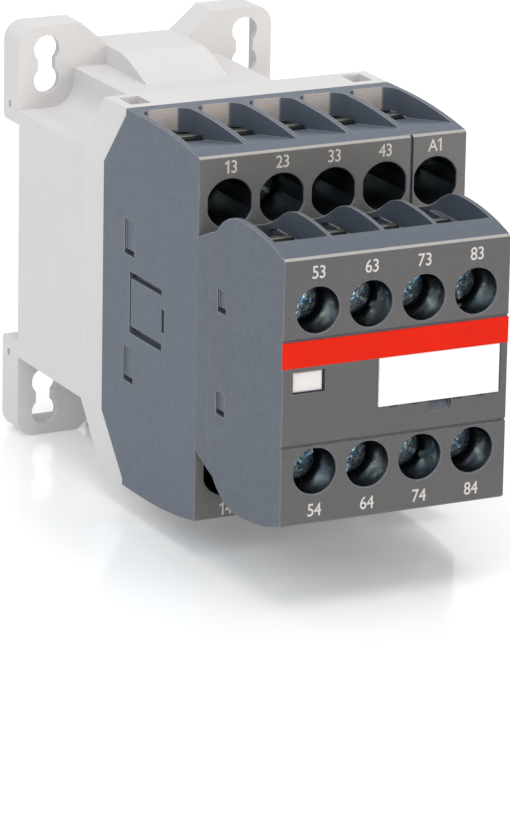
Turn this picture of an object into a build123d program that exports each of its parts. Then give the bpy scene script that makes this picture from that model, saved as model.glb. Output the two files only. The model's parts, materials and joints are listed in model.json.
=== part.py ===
from build123d import *
import os

# Eight-pole contactor relay for a 35 mm rail: a rear device with coil, magnet and four contact poles,
# and an auxiliary contact block with four more poles on its front.
# Millimetres. X is the width, Z is up, and the origin is the centre of the back mounting plane.
# The device stands forward from that plane along -Y, so a "depth" is a distance along -Y.

TINY = 0.01

# widths and heights of the housings
HALF_WIDTH = 22.5
BASE_HALF_WIDTH = 22.25
FLANGE_HALF_WIDTH = 22.4
LUG_TOP = 33.8
HUMP_TOP = 29.75
SHELF_TOP = 26.6
LEDGE_TOP = 20.4
FLANGE_TOP = 30.0

# depths of the housings
LUG_DEPTH = 6.0
BACK_WALL = 2.0
FLANGE_FOOT_DEPTH = 30.7
SPLIT_DEPTH = 38.4
FLANGE_FRONT_DEPTH = 46.2
MAIN_FRONT = 71.8
SHELL_SPLIT_DEPTH = 76.0
AUX_FRONT = 100.2

# rear housing details
LUG_CORNER = 3.0
LUG_FLAT_END = 11.6
LUG_FOOT = 6.8
LUG_RECESS_X = (11.2, 21.3)
LUG_RECESS_Z = (21.0, 32.3)
LUG_RECESS_DEPTH = 4.7
LUG_DIMPLE_DEPTH = 2.4
LUG_DIMPLES_Z = (20.7, -20.5)
HUMP_HALF_WIDTH = 7.2
HUMP_FLAT_DEPTH = 12.0
HUMP_SHOULDER = (15.2, 28.95)
HUMP_END_DEPTH = 21.5
SHELF_HALF_WIDTH = 12.7
CHANNEL_RADIUS = 4.1
CORE_GUIDE_X = 11.4
CORE_GUIDE_DEPTH = 24.0
WALL_PANEL_X = (4.5, 18.5)
WALL_PANEL_HALF_HEIGHT = 12.0
FLANGE_NOTCH_X = (17.4, 20.8)
FLANGE_NOTCH_DEPTH = (39.6, 44.4)
FLANGE_HOLE_X = (18.4, 19.8)
FLANGE_HOLE_DEPTH = (40.6, 42.8)
FLANGE_HOLE_FLOOR = 25.8
SPLIT_TOP = 19.95
SPLIT_LIP = 29.0
CAVITY_HALF_WIDTH = 20.4
CAVITY_TOP = 18.2
COIL_SPACE_HALF_WIDTH = 11.2
COIL_SPACE_TOP = 25.0
SLOT_X = 17.5
SLOT_HIGH_Z = 30.0
SLOT_LOW_Z = 25.0
SLOT_RADIUS = 2.2
SLOT_NECK = 3.0
RECESS_TOP = 18.0
RECESS_BOTTOM = -17.8

# rail hook and sprung clip
RAIL_GROOVE_DEPTH = 4.8
HOOK_THICKNESS = 1.5
HOOK_HALF_WIDTH = 16.0
HOOK_TIP_Z = 16.4
CLIP_HALF_WIDTH = 8.0
CLIP_NECK_HALF_WIDTH = 6.5
CLIP_BACK_DEPTH = 1.4
CLIP_FRONT_DEPTH = 4.5
CLIP_TIP_Z = -16.3
CLIP_HANDLE_Z = -33.5
CLIP_CLEARANCE = 0.15
CLIP_WINDOW_HALF_WIDTH = 2.2
CLIP_WINDOW_TOP = -21.5
CLIP_WINDOW_BOTTOM = -29.6
CLIP_PEG_TOP = -28.0
CLIP_SPRING_WIRE = 0.4

# pole columns
POLE_PITCH = 8.65
POLE_X = [(i - 2) * POLE_PITCH for i in range(5)]
CONTACT_POLE_X = POLE_X[:4]
COIL_COLUMN_X = POLE_X[4]
RIB = 0.9
OUTER_RIB = 0.85
AUX_LEFT = -HALF_WIDTH
AUX_RIGHT = 14.7
AUX_DROP = -0.38
AUX_CENTRE_X = (AUX_LEFT + AUX_RIGHT) / 2
AUX_PITCH = 8.68
AUX_POLE_X = [AUX_CENTRE_X + (i - 1.5) * AUX_PITCH for i in range(4)]
AUX_RIB = 0.6
AUX_OUTER_RIB = 0.8
CHAMBER_HALF_WIDTH = 3.875

# terminals: the screw height, then depths along the screw
MAIN_SCREW_Z = 20.8
MAIN_TERMINAL = dict(
    screw_z=MAIN_SCREW_Z, rear=48.7, slot_front=55.0, slot_z=26.25, ramp_end=68.8, ramp_z=28.75,
    chamber_low=16.3, well_radius=3.82, well_flat=3.64, bore_end=44.4, bore_radius=2.1,
    front=MAIN_FRONT, corner=2.4,
)
AUX_TERMINAL = dict(
    screw_z=12.2, rear=78.0, slot_front=86.0, slot_z=18.55, ramp_end=95.0, ramp_z=21.55,
    chamber_low=8.4, well_radius=3.525, well_flat=3.525, bore_end=76.3, bore_radius=1.8,
    front=AUX_FRONT, corner=1.6,
)
STRIP = 1.2
MAIN_STRIP_DEPTH = 48.7
MAIN_CLAMP = dict(back=53.2, front=54.5, lip_start=51.6, lip=0.4, half_width=3.6, low=17.3, high=27.0)
MAIN_SCREW = dict(head_radius=3.3, head=2.8, shank_radius=1.75, shank_end=46.4, slot=0.8, cross=3.8)
MAIN_HEAD_FRONT = 58.4
RAISED_HEAD_FRONTS = {"23": 63.0, "a1": 59.8}
AUX_STRIP_DEPTH = 79.6
AUX_CLAMP = dict(back=84.4, front=85.6, lip_start=81.3, lip=0.35, half_width=3.5, low=9.3, high=19.25)
AUX_SCREW = dict(head_radius=3.2, head=2.6, shank_radius=1.5, shank_end=78.1, slot=0.7, cross=3.6)
AUX_HEAD_FRONT = 94.5
THREAD_CLEARANCE = 0.05
HEAD_RIM_RADIUS = 0.5
DRIVE_SLOT_DEPTH = 1.1

# contacts: each bridge stands one contact gap in front of its two fixed contacts
CONTACT_GAP = 3.05
TIP = 0.8
TIP_RADIUS = 1.5
BRIDGE = 1.0
BRIDGE_HALF_WIDTH = 2.0
WINDOW_HALF_WIDTH = 2.4
MAIN_CONTACT_Z = 9.6
MAIN_STRIP_END_Z = 7.6
MAIN_STRIP_TOP_Z = 25.6
MAIN_STRIP_HALF_WIDTH = 2.8
AUX_CONTACT_Z = 5.6
AUX_STRIP_END_Z = 4.3
AUX_STRIP_TOP_Z = 16.6
AUX_STRIP_HALF_WIDTH = 2.5
MAIN_BRIDGE_DEPTH = MAIN_STRIP_DEPTH + STRIP + 2 * TIP + CONTACT_GAP
AUX_BRIDGE_DEPTH = AUX_STRIP_DEPTH + STRIP + 2 * TIP + CONTACT_GAP
CONTACT_SPRING_LENGTH = 6.0

# moving carriers
TRAVEL = 4.0
SPINE_HALF_HEIGHT = 5.0
SPINE_X = (-20.9, 12.4)
SPINE_DEPTH = (44.0, MAIN_BRIDGE_DEPTH + BRIDGE + CONTACT_SPRING_LENGTH + 1.4)
CARRIER_PLATE_HALF = (16.0, 11.0)
COUPLER_X = (-10.0, 2.0)
COUPLER_HALF_HEIGHT = 2.4
AUX_SPINE_HALF_HEIGHT = 3.1
AUX_SPINE_X = (-21.0, 12.9)
AUX_SPINE_DEPTH = (77.2, AUX_BRIDGE_DEPTH + BRIDGE + CONTACT_SPRING_LENGTH + 1.4)
RUNNING_GAP = 0.4

# magnet and coil
CORE_HALF_WIDTH = 15.0
CORE_HALF_STACK = 9.0
CENTRE_LEG = 4.5
OUTER_LEG = 4.0
CORE_BACK_DEPTH = 9.2
CORE_YOKE = 5.0
CORE_FACE_DEPTH = 27.2
ARMATURE_FACE_DEPTH = CORE_FACE_DEPTH + TRAVEL + 0.2
ARMATURE_YOKE_DEPTH = 34.2
ARMATURE_FRONT_DEPTH = 38.4
BOBBIN_DEPTH = (14.6, 26.6)
BOBBIN_FLANGE = (10.6, 16.6)
BOBBIN_WALL = 1.0
SHADING_RING = 0.8
RING_INNER_X = 12.9
KEY_HALF = (2.6, 0.6)
KEY_DEPTH = 36.3
COIL_LEG_Z = 14.0
COIL_LEG_HALF_WIDTH = 1.8
COIL_LEG_WINDOW_DEPTH = 47.4

# spaces and details of the front housing
REAR_HOLLOW_HALF = (20.6, 15.4)
REAR_HOLLOW_FRONT = 47.5
CARRIER_CHANNEL_FRONT = 69.3
COUPLER_PASSAGE_REAR = 69.0
CONTACT_CHAMBER_HALF = (3.4, 14.6)
CONTACT_CHAMBER_FRONT = 62.0
STRIP_SLOT_Z = (14.0, 16.4)
COIL_GROOVE_X = (12.9, 13.4)
SIDE_SLOT_Z = (7.3, 12.9)
SIDE_SLOT_DEPTH = (46.2, 49.7)
SIDE_SLOT_SINK = 0.32
SIDE_SLOT_HOLE = (0.75, 1.8)
COVER_DEPTH = (48.2, 59.6)
COVER_HALF_HEIGHT = 4.9
COVER_PANEL_DEPTH = (48.45, 59.2)
COVER_PANEL_HALF_HEIGHT = 3.85
COVER_X = (20.95, 21.3, 22.42)
COVER_OPENING_X = 20.9
PRY_NOTCH_END = 60.5
PRY_NOTCH_HALF_HEIGHT = 1.85
PRY_NOTCH_SINK = 0.9

# auxiliary block: spaces, then the details of its front
AUX_SHELL_TOP = (16.7, 18.4)
AUX_SHELL_POCKET_REAR = 72.9
AUX_CHAMBER_HALF = (3.2, 7.3)
AUX_CHAMBER_FRONT = 93.0
AUX_STRIP_SLOT_Z = (7.0, 8.5)
AUX_SIDE_SLOTS_Z = ((6.95, 10.5), (-8.85, -5.25))
AUX_SIDE_SLOT_DEPTH = (78.6, 81.4)
BAND_Z = (3.78, 7.72)
BAND_THICKNESS = 0.3
WINDOW_X = (-20.8, -15.5)
WINDOW_Z = (-0.2, 3.2)
INDICATOR_X = (-20.7, -15.68)
INDICATOR_Z = (-0.1, 3.02)
INDICATOR_FRONT = 99.7
LABEL_X = (-6.9, 13.5)
LABEL_Z = (-3.72, 3.78)
LABEL_RECESS = 0.5
PLATE_X = (-6.8, 13.2)
PLATE_Z = (-3.62, 3.76)
PLATE_PROUD = 0.35
NOTCH_X = (1.6, 5.4)
NOTCH_Z = (-5.5, -3.72)
NOTCH_SINK = 1.2
PLATE_CATCHES_X = (-4.3, -0.9, 6.4, 10.2)
PLATE_CATCH = (1.4, 0.22)
GROOVE = 0.42
GROOVES_Z = (7.93, -8.1)
FRONT_WALL = 2.4
BEVEL = 0.45
SIDE_CHAMFER = 0.12
RIM_CHAMFER = 0.12

os.makedirs("parts", exist_ok=True)


def save(builder, name, drop=0.0):
    """Write one finished piece under its name, moved along Z by the drop."""
    piece = builder.part.moved(Location((0, 0, drop)))
    piece.label = name
    export_step(piece, f"parts/{name}.step")


def block(x, depth, z, mode=Mode.ADD):
    """Add or cut a block in the open part. Each of x, depth and z is a (low, high) pair."""
    with Locations((sum(x) / 2, -sum(depth) / 2, sum(z) / 2)):
        Box(x[1] - x[0], depth[1] - depth[0], z[1] - z[0], mode=mode)


def around(centre, half):
    """The pair centre - half, centre + half."""
    return (centre - half, centre + half)


def both_ways(pair):
    """A (low, high) pair on the positive side of the middle, and its mirror image."""
    return [pair, (-pair[1], -pair[0])]


def spring(radius, wire, depth, turns, x=0.0, z=0.0):
    """Compression spring with its axis along the depth."""
    height = depth[1] - depth[0] - wire
    with BuildPart() as coil:
        with BuildLine():
            path = Helix(pitch=height / turns, height=height, radius=radius,
                         center=(x, -depth[0] - wire / 2, z), direction=(0, -1, 0))
        with BuildSketch(Plane(origin=path @ 0, z_dir=path % 0)):
            Circle(wire / 2)
        sweep(path=path, is_frenet=True)
    return coil.part


def side_slot(face_x, sink_sign, depth, z):
    """Cut a shallow slot in a side face, with a deeper hole at its lower end."""
    hole_height, hole_sink = SIDE_SLOT_HOLE
    for sink, slot_z in ((SIDE_SLOT_SINK, z), (hole_sink, (z[0], z[0] + hole_height))):
        slot_x = sorted((face_x, face_x + sink_sign * sink))
        block(slot_x, depth, slot_z, Mode.SUBTRACT)


def chamfer_ends(builder):
    """Chamfer the outlines of the two ends of a prism that runs across the width."""
    for end in (0, -1):
        chamfer(builder.faces().sort_by(Axis.X)[end].edges(), SIDE_CHAMFER)


def terminal_space(x, screw_x, screw_z, rear, slot_front, slot_z, ramp_end, ramp_z,
                   chamber_low, well_radius, well_flat, bore_end, bore_radius, front, corner):
    """The spaces of one terminal column, above and below: the open pocket between two ribs with its
    rounded rear corners and its ramp, the wire chamber, the screwdriver well and the bore for the
    screw's end."""
    above = LUG_TOP
    beyond = front + 1
    with BuildPart() as space:
        with BuildSketch(Plane.XY.offset(slot_z)) as plan:
            with Locations((sum(x) / 2, -(rear + beyond) / 2)):
                Rectangle(x[1] - x[0], beyond - rear)
            fillet(plan.vertices().group_by(Axis.Y)[-1], corner)
        extrude(amount=above - slot_z)
        with BuildSketch(Plane.YZ.offset(x[0])):
            with BuildLine():
                Polyline((-rear, slot_z), (-slot_front, slot_z), (-ramp_end, ramp_z),
                         (-beyond, ramp_z), (-beyond, above), (-rear, above), close=True)
            make_face()
        extrude(amount=x[1] - x[0], mode=Mode.INTERSECT)
        block(around(screw_x, CHAMBER_HALF_WIDTH), (rear, slot_front), (chamber_low, slot_z + TINY))
        with BuildSketch(Plane.XZ.offset(slot_front - TINY)):
            with Locations((screw_x, screw_z)):
                Circle(well_radius)
                Rectangle(2 * well_flat, 3 * well_radius, mode=Mode.INTERSECT)
        extrude(amount=beyond - slot_front)
        with BuildSketch(Plane.XZ.offset(bore_end)):
            with Locations((screw_x, screw_z)):
                Circle(bore_radius)
        extrude(amount=rear - bore_end + TINY)
        mirror(about=Plane.XY)
    return space.part


# ---------------------------------------------------------------- rear housing
with BuildPart() as base_housing:
    with BuildSketch(Plane.XZ.offset(LUG_DEPTH)) as body_section:
        Rectangle(2 * BASE_HALF_WIDTH, 2 * LEDGE_TOP)
        Rectangle(2 * SHELF_HALF_WIDTH, 2 * SHELF_TOP)
        inner_corners = body_section.vertices().filter_by(
            lambda v: abs(abs(v.X) - SHELF_HALF_WIDTH) < TINY and abs(abs(v.Y) - LEDGE_TOP) < TINY
        )
        outer_corners = body_section.vertices().filter_by(lambda v: abs(abs(v.X) - BASE_HALF_WIDTH) < TINY)
        fillet(inner_corners, CHANNEL_RADIUS)
        fillet(outer_corners, 0.4)
    extrude(amount=SPLIT_DEPTH - LUG_DEPTH)
    # flange with its slanting split line, seen from the side
    with BuildSketch(Plane.YZ):
        with BuildLine():
            Polyline(
                (-FLANGE_FOOT_DEPTH, LEDGE_TOP), (-SPLIT_DEPTH, FLANGE_TOP),
                (-FLANGE_FRONT_DEPTH, FLANGE_TOP), (-FLANGE_FRONT_DEPTH, SPLIT_LIP),
                (-SPLIT_DEPTH, SPLIT_TOP), (-SPLIT_DEPTH, 0), (-FLANGE_FOOT_DEPTH, 0), close=True,
            )
        make_face()
        mirror(about=Plane.XZ)
    extrude(amount=FLANGE_HALF_WIDTH, both=True)
    # coil hump
    with BuildSketch(Plane.YZ):
        with BuildLine():
            Polyline((-HUMP_FLAT_DEPTH, HUMP_TOP), (0, HUMP_TOP), (0, RECESS_TOP),
                     (-HUMP_END_DEPTH, RECESS_TOP), (-HUMP_END_DEPTH, SHELF_TOP))
            Polyline((-HUMP_END_DEPTH, SHELF_TOP), (-HUMP_SHOULDER[0], HUMP_SHOULDER[1]),
                     (-HUMP_FLAT_DEPTH, HUMP_TOP))
        make_face()
        mirror(about=Plane.XZ)
    extrude(amount=HUMP_HALF_WIDTH, both=True)
    # mounting lugs above and below the rail recess
    for start, sign in ((RECESS_TOP, 1), (RECESS_BOTTOM, -1)):
        with BuildSketch(Plane.XZ) as lug_outline:
            with BuildLine():
                Polyline((0, start), (BASE_HALF_WIDTH, start), (BASE_HALF_WIDTH, sign * LUG_TOP),
                         (LUG_FLAT_END, sign * LUG_TOP), (LUG_FOOT, sign * HUMP_TOP),
                         (0, sign * HUMP_TOP), close=True)
            make_face()
            mirror(about=Plane.YZ)
            lug_corners = lug_outline.vertices().filter_by(
                lambda v: abs(abs(v.X) - BASE_HALF_WIDTH) < TINY and abs(v.Y) > SHELF_TOP
            )
            fillet(lug_corners, LUG_CORNER)
        extrude(amount=LUG_DEPTH)
    with BuildSketch(Plane.XZ):
        with Locations(*[(x, z) for x in (-SLOT_X, SLOT_X)
                         for z in (-SLOT_HIGH_Z, -SLOT_LOW_Z, SLOT_LOW_Z, SLOT_HIGH_Z)]):
            Circle(SLOT_RADIUS)
        with GridLocations(2 * SLOT_X, SLOT_HIGH_Z + SLOT_LOW_Z, 2, 2):
            Rectangle(SLOT_NECK, SLOT_HIGH_Z - SLOT_LOW_Z)
    extrude(amount=LUG_DEPTH, mode=Mode.SUBTRACT)
    # hollow for the magnet and coil
    inner_back = LUG_DEPTH + BACK_WALL
    block(around(0, CAVITY_HALF_WIDTH), (inner_back, SPLIT_DEPTH), around(0, CAVITY_TOP), Mode.SUBTRACT)
    block(around(0, COIL_SPACE_HALF_WIDTH), (inner_back, SPLIT_DEPTH), around(0, COIL_SPACE_TOP),
          Mode.SUBTRACT)
    block(around(0, HUMP_HALF_WIDTH - 1.5), (inner_back, HUMP_FLAT_DEPTH), around(0, HUMP_TOP - 1.5),
          Mode.SUBTRACT)
    # guides beside the outer legs of the core
    for z in both_ways((CORE_HALF_STACK, CORE_HALF_STACK + 1.6)):
        for x in both_ways((CORE_GUIDE_X, CORE_HALF_WIDTH)):
            block(x, (inner_back, CORE_GUIDE_DEPTH), z)
    # notches in the flange, each with a deeper hole in its floor
    for z, hole_z in zip(both_ways((FLANGE_TOP - 2.0, FLANGE_TOP + 1)),
                         both_ways((FLANGE_HOLE_FLOOR, FLANGE_TOP))):
        for x in both_ways(FLANGE_NOTCH_X):
            block(x, FLANGE_NOTCH_DEPTH, z, Mode.SUBTRACT)
        for x in both_ways(FLANGE_HOLE_X):
            block(x, FLANGE_HOLE_DEPTH, hole_z, Mode.SUBTRACT)
    # rail hook, clip guide and the peg that the clip's spring pushes from
    block(around(0, HOOK_HALF_WIDTH), (RAIL_GROOVE_DEPTH - HOOK_THICKNESS, RAIL_GROOVE_DEPTH),
          (HOOK_TIP_Z, RECESS_TOP))
    block(around(0, CLIP_NECK_HALF_WIDTH), (0, CLIP_BACK_DEPTH), (-LUG_TOP - 1, RECESS_BOTTOM),
          Mode.SUBTRACT)
    block(around(0, CLIP_HALF_WIDTH + CLIP_CLEARANCE),
          (CLIP_BACK_DEPTH - CLIP_CLEARANCE, CLIP_FRONT_DEPTH + CLIP_CLEARANCE),
          (-LUG_TOP - 1, RECESS_BOTTOM), Mode.SUBTRACT)
    block(around(0, 1.6), (CLIP_BACK_DEPTH + 0.6, CLIP_FRONT_DEPTH + CLIP_CLEARANCE),
          (CLIP_PEG_TOP - 1.2, CLIP_PEG_TOP))
    # hollows in the backs of the lugs, which leave a thin plate round each slot
    with BuildSketch(Plane.XZ):
        with Locations(*[(sign_x * sum(LUG_RECESS_X) / 2, sign_z * sum(LUG_RECESS_Z) / 2)
                         for sign_x in (-1, 1) for sign_z in (-1, 1)]):
            RectangleRounded(LUG_RECESS_X[1] - LUG_RECESS_X[0], LUG_RECESS_Z[1] - LUG_RECESS_Z[0], 1.5)
    extrude(amount=LUG_RECESS_DEPTH, mode=Mode.SUBTRACT)
    # shallow panels in the wall behind the rail
    for x in both_ways(WALL_PANEL_X):
        block(x, (LUG_DEPTH, LUG_DEPTH + 0.6), around(0, WALL_PANEL_HALF_HEIGHT), Mode.SUBTRACT)
    # dimples in the sides of the lugs
    with Locations(*[Location((x, -LUG_DIMPLE_DEPTH, z), (0, 90, 0))
                     for x in (-BASE_HALF_WIDTH, BASE_HALF_WIDTH) for z in LUG_DIMPLES_Z]):
        Cylinder(0.6, 0.9, mode=Mode.SUBTRACT)
    # rounded back edge of the lugs along the recess
    recess_edges = base_housing.edges().filter_by(Axis.X).filter_by_position(Axis.Y, -TINY, TINY)
    round_edges = [e for e in recess_edges if abs(e.center().Z - RECESS_TOP) < TINY
                   or abs(e.center().Z - RECESS_BOTTOM) < TINY]
    fillet(round_edges, 1.0)
save(base_housing, "base_housing")

# ---------------------------------------------------------------- rail clip
with BuildPart() as din_clip:
    block(around(0, CLIP_HALF_WIDTH), (CLIP_BACK_DEPTH, CLIP_FRONT_DEPTH), (CLIP_HANDLE_Z, CLIP_TIP_Z))
    block(around(0, CLIP_WINDOW_HALF_WIDTH), (CLIP_BACK_DEPTH, CLIP_FRONT_DEPTH),
          (CLIP_WINDOW_BOTTOM, CLIP_WINDOW_TOP), Mode.SUBTRACT)
    # slot for a screwdriver tip in the handle, and a lead-in on the hook edge
    block(around(0, 2.5), (CLIP_BACK_DEPTH, CLIP_FRONT_DEPTH), (-32.4, -31.0), Mode.SUBTRACT)
    tip_edge = din_clip.edges().filter_by(Axis.X).group_by(Axis.Z)[-1].sort_by(Axis.Y)[-1]
    chamfer(tip_edge, 1.0)
save(din_clip, "din_clip")

with BuildPart() as din_clip_spring:
    with BuildLine():
        clip_helix = Helix(pitch=1.02, height=CLIP_WINDOW_TOP - CLIP_PEG_TOP - CLIP_SPRING_WIRE, radius=1.1,
                           center=(0, -(CLIP_BACK_DEPTH + CLIP_FRONT_DEPTH) / 2,
                                   CLIP_PEG_TOP + CLIP_SPRING_WIRE / 2))
    with BuildSketch(Plane(origin=clip_helix @ 0, z_dir=clip_helix % 0)):
        Circle(CLIP_SPRING_WIRE / 2)
    sweep(path=clip_helix, is_frenet=True)
save(din_clip_spring, "din_clip_spring")

# ---------------------------------------------------------------- magnet and coil
with BuildPart() as core_damper:
    block(around(0, CORE_HALF_WIDTH), (inner_back, CORE_BACK_DEPTH), around(0, CORE_HALF_STACK))
save(core_damper, "core_damper")

outer_leg_x = both_ways((CORE_HALF_WIDTH - OUTER_LEG, CORE_HALF_WIDTH))
ring_x = both_ways((RING_INNER_X, CORE_HALF_WIDTH + SHADING_RING))
ring_hole_x = both_ways((RING_INNER_X + SHADING_RING, CORE_HALF_WIDTH))
ring_groove_x = both_ways((RING_INNER_X, RING_INNER_X + SHADING_RING))
ring_depth = (CORE_FACE_DEPTH - 1.2, CORE_FACE_DEPTH - 0.2)

with BuildPart() as fixed_core:
    stack = around(0, CORE_HALF_STACK)
    block(around(0, CORE_HALF_WIDTH), (CORE_BACK_DEPTH, CORE_BACK_DEPTH + CORE_YOKE), stack)
    block(around(0, CENTRE_LEG), (CORE_BACK_DEPTH, CORE_FACE_DEPTH), stack)
    for leg in outer_leg_x:
        block(leg, (CORE_BACK_DEPTH, CORE_FACE_DEPTH), stack)
    for groove in ring_groove_x:
        block(groove, (ring_depth[0], CORE_FACE_DEPTH), stack, Mode.SUBTRACT)
save(fixed_core, "fixed_core")

with BuildPart() as shading_rings:
    for outer, inner in zip(ring_x, ring_hole_x):
        block(outer, ring_depth, around(0, CORE_HALF_STACK + SHADING_RING))
        block(inner, ring_depth, around(0, CORE_HALF_STACK), Mode.SUBTRACT)
save(shading_rings, "shading_rings")

with BuildPart() as coil_bobbin:
    flange_x, flange_z = BOBBIN_FLANGE
    tube_x = CENTRE_LEG + BOBBIN_WALL + 0.1
    tube_z = CORE_HALF_STACK + BOBBIN_WALL + 0.1
    block(around(0, tube_x), BOBBIN_DEPTH, around(0, tube_z))
    for start in (BOBBIN_DEPTH[0], BOBBIN_DEPTH[1] - BOBBIN_WALL):
        block(around(0, flange_x), (start, start + BOBBIN_WALL), around(0, flange_z))
    # arms that carry the ends of the two coil terminals
    for z in both_ways((COIL_LEG_Z - 2.6, COIL_LEG_Z)):
        block((flange_x, COIL_COLUMN_X + 2.4), (BOBBIN_DEPTH[1] - BOBBIN_WALL, BOBBIN_DEPTH[1]), z)
    block(around(0, CENTRE_LEG + 0.1), BOBBIN_DEPTH, around(0, CORE_HALF_STACK + 0.1), Mode.SUBTRACT)
save(coil_bobbin, "coil_bobbin")

with BuildPart() as coil_winding:
    winding_depth = (BOBBIN_DEPTH[0] + BOBBIN_WALL, BOBBIN_DEPTH[1] - BOBBIN_WALL)
    with BuildSketch(Plane.XZ.offset(winding_depth[0])):
        RectangleRounded(2 * (flange_x - 0.5), 2 * (flange_z - 0.5), 3.5)
        Rectangle(2 * tube_x, 2 * tube_z, mode=Mode.SUBTRACT)
    extrude(amount=winding_depth[1] - winding_depth[0])
save(coil_winding, "coil_winding")

for name, sign in (("coil_terminal_a1", 1), ("coil_terminal_a2", -1)):
    with BuildPart() as coil_terminal:
        block(around(COIL_COLUMN_X, MAIN_STRIP_HALF_WIDTH), (MAIN_STRIP_DEPTH, MAIN_STRIP_DEPTH + STRIP),
              (COIL_LEG_Z, MAIN_STRIP_TOP_Z))
        block(around(COIL_COLUMN_X, COIL_LEG_HALF_WIDTH),
              (BOBBIN_DEPTH[1] - BOBBIN_WALL, MAIN_STRIP_DEPTH + STRIP), (COIL_LEG_Z, COIL_LEG_Z + STRIP))
        with BuildSketch(Plane.XZ.offset(MAIN_STRIP_DEPTH)):
            with Locations((COIL_COLUMN_X, MAIN_SCREW_Z)):
                Circle(MAIN_SCREW["shank_radius"] + THREAD_CLEARANCE)
        extrude(amount=STRIP, mode=Mode.SUBTRACT)
        if sign < 0:
            mirror(coil_terminal.part, about=Plane.XY, mode=Mode.REPLACE)
    save(coil_terminal, name)

with BuildPart() as armature:
    block(around(0, CORE_HALF_WIDTH), (ARMATURE_YOKE_DEPTH, ARMATURE_FRONT_DEPTH), stack)
    for leg in outer_leg_x + [around(0, CENTRE_LEG)]:
        block(leg, (ARMATURE_FACE_DEPTH, ARMATURE_YOKE_DEPTH + TINY), stack)
    block(around(0, KEY_HALF[0]), around(KEY_DEPTH, KEY_HALF[1]), stack, Mode.SUBTRACT)
save(armature, "armature")

with BuildPart() as armature_key:
    block(around(0, KEY_HALF[0]), around(KEY_DEPTH, KEY_HALF[1]), around(0, CARRIER_PLATE_HALF[1]))
save(armature_key, "armature_key")

with BuildPart() as return_springs:
    for x in (-7.75, 7.75):
        add(spring(2.1, 0.5, (BOBBIN_DEPTH[1] + 0.1, ARMATURE_YOKE_DEPTH - 0.1), 4.5, x=x))
save(return_springs, "return_springs")

# ---------------------------------------------------------------- contact carrier
with BuildPart() as contact_carrier:
    plate_x, plate_z = CARRIER_PLATE_HALF
    block(around(0, plate_x), (ARMATURE_FRONT_DEPTH, SPINE_DEPTH[0]), around(0, plate_z))
    # skirts that hold the armature by its key
    for z in both_ways((CORE_HALF_STACK, plate_z)):
        block(around(0, 6.0), (ARMATURE_YOKE_DEPTH, ARMATURE_FRONT_DEPTH), z)
    block(around(0, KEY_HALF[0]), around(KEY_DEPTH, KEY_HALF[1]), around(0, plate_z), Mode.SUBTRACT)
    block(SPINE_X, (SPINE_DEPTH[0] - TINY, SPINE_DEPTH[1]), around(0, SPINE_HALF_HEIGHT))
    for x in CONTACT_POLE_X:
        block(around(x, WINDOW_HALF_WIDTH),
              (MAIN_BRIDGE_DEPTH, MAIN_BRIDGE_DEPTH + BRIDGE + CONTACT_SPRING_LENGTH),
              around(0, SPINE_HALF_HEIGHT), Mode.SUBTRACT)
    # coupler to the auxiliary carrier
    block(COUPLER_X, (SPINE_DEPTH[1] - TINY, AUX_SPINE_DEPTH[0]), around(0, COUPLER_HALF_HEIGHT))
save(contact_carrier, "contact_carrier")


def bridge(x, depth, contact_z, half_length):
    """Moving contact bridge with a tip at each end, on the side facing the fixed contacts."""
    with BuildPart() as piece:
        with BuildSketch(Plane.XZ.offset(depth)):
            with Locations((x, 0)):
                RectangleRounded(2 * BRIDGE_HALF_WIDTH, 2 * half_length, 0.6)
        extrude(amount=BRIDGE)
        with BuildSketch(Plane.XZ.offset(depth - TIP)):
            with Locations((x, contact_z), (x, -contact_z)):
                Circle(TIP_RADIUS)
        extrude(amount=TIP)
    return piece


def fixed_contacts(poles, depth, z, half_width, contact_z, screw_z, hole_radius):
    """Row of terminal strips, each with its contact tip and its threaded screw hole."""
    with BuildPart() as strips:
        for x in poles:
            block(around(x, half_width), (depth, depth + STRIP), z)
        places = [(x, contact_z) for x in poles]
        with BuildSketch(Plane.XZ.offset(depth + STRIP)):
            with Locations(*places):
                Circle(TIP_RADIUS)
        extrude(amount=TIP)
        with BuildSketch(Plane.XZ.offset(depth)):
            with Locations(*[(x, screw_z) for x in poles]):
                Circle(hole_radius)
        extrude(amount=STRIP, mode=Mode.SUBTRACT)
    return strips


def contact_springs(poles, depth):
    """Row of contact springs, one in front of each bridge."""
    with BuildPart() as springs:
        for x in poles:
            add(spring(1.5, 0.36, (depth + 0.08, depth + CONTACT_SPRING_LENGTH - 0.08), 5, x=x))
    return springs


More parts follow.
